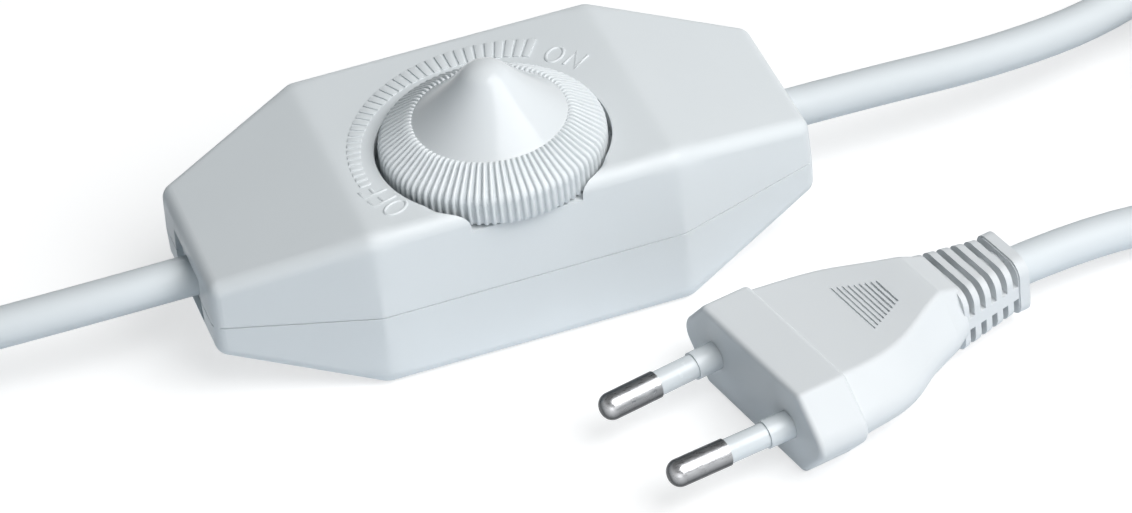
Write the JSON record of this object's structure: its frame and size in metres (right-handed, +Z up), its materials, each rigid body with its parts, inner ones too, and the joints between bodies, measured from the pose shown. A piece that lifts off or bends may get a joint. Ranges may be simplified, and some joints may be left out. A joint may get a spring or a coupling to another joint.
{
  "type": "inline cord dimmer",
  "caption": "Inline cord dimmer: faceted two-part housing with a ribbed conical rotary knob, a supply lead with a flat two-pin plug and a bare-ended lamp lead.",
  "frame": {"origin": "middle of the housing's flat base, on the surface it rests on", "axes": "+X along the cords towards the supply lead, -Y towards the wall that the knob shows through, +Z up along the knob's axis"},
  "size_m": [0.358, 0.0947, 0.04],
  "materials": {
    "housing_plastic": "fine satin moulded, pale cool grey-white",
    "knob_plastic": "smooth glossy cone over satin ribs",
    "dark_plastic": "moulded black",
    "board": "green solder mask",
    "terminal_plastic": "natural polyamide",
    "zinc_steel": "zinc plated",
    "aluminium": "plain mill finish",
    "ferrite": "sintered grey",
    "copper_wire": "enamelled copper",
    "capacitor_plastic": "yellow cased",
    "resistor": "lacquered tan",
    "diac_glass": "glass bead",
    "core_brown": "brown and blue insulated cores",
    "cord_sheath": "soft white cord sheath, light sheen",
    "tinned_copper": "tinned ferrule",
    "plug_plastic": "satin white moulded",
    "plated_brass": "nickel plated, turned marks",
    "sleeve_plastic": "smooth white sleeve"
  },
  "bodies": {
    "housing": {"upper_shell": "housing_plastic", "lower_shell": "housing_plastic", "potentiometer": "dark_plastic", "circuit_board": "board", "supply_terminal": "terminal_plastic", "lamp_terminal": "terminal_plastic", "terminal_screws": "zinc_steel", "heat_sink": "aluminium", "triac": "dark_plastic", "triac_bolt": "zinc_steel", "choke_core": "ferrite", "choke_winding": "copper_wire", "film_capacitor": "capacitor_plastic", "timing_capacitor": "capacitor_plastic", "resistors": "resistor", "diac": "diac_glass", "fuse": "dark_plastic", "cord_grips": "terminal_plastic", "grip_screws": "zinc_steel", "housing_screws": "zinc_steel", "board_screws": "zinc_steel", "supply_cores": "core_brown", "lamp_cores": "core_brown", "supply_cord": "cord_sheath", "supply_coil": "cord_sheath", "plug_cord": "cord_sheath", "lamp_cord": "cord_sheath", "lamp_coil": "cord_sheath", "lamp_cord_tail": "cord_sheath", "lamp_end_cores": "core_brown", "lamp_end_ferrules": "tinned_copper", "plug_body": "plug_plastic", "plug_pins": "plated_brass", "pin_sleeves": "sleeve_plastic"},
    "knob": {"knob": "knob_plastic", "potentiometer_shaft": "dark_plastic"}
  },
  "joints": [
    {"name": "knob_turn", "type": "hinge", "parent": "housing", "child": "knob", "pos_m": [0, -0.0061, 0.0265], "axis": [0, 0, -1], "range_deg": [0, 270]}
  ]
}
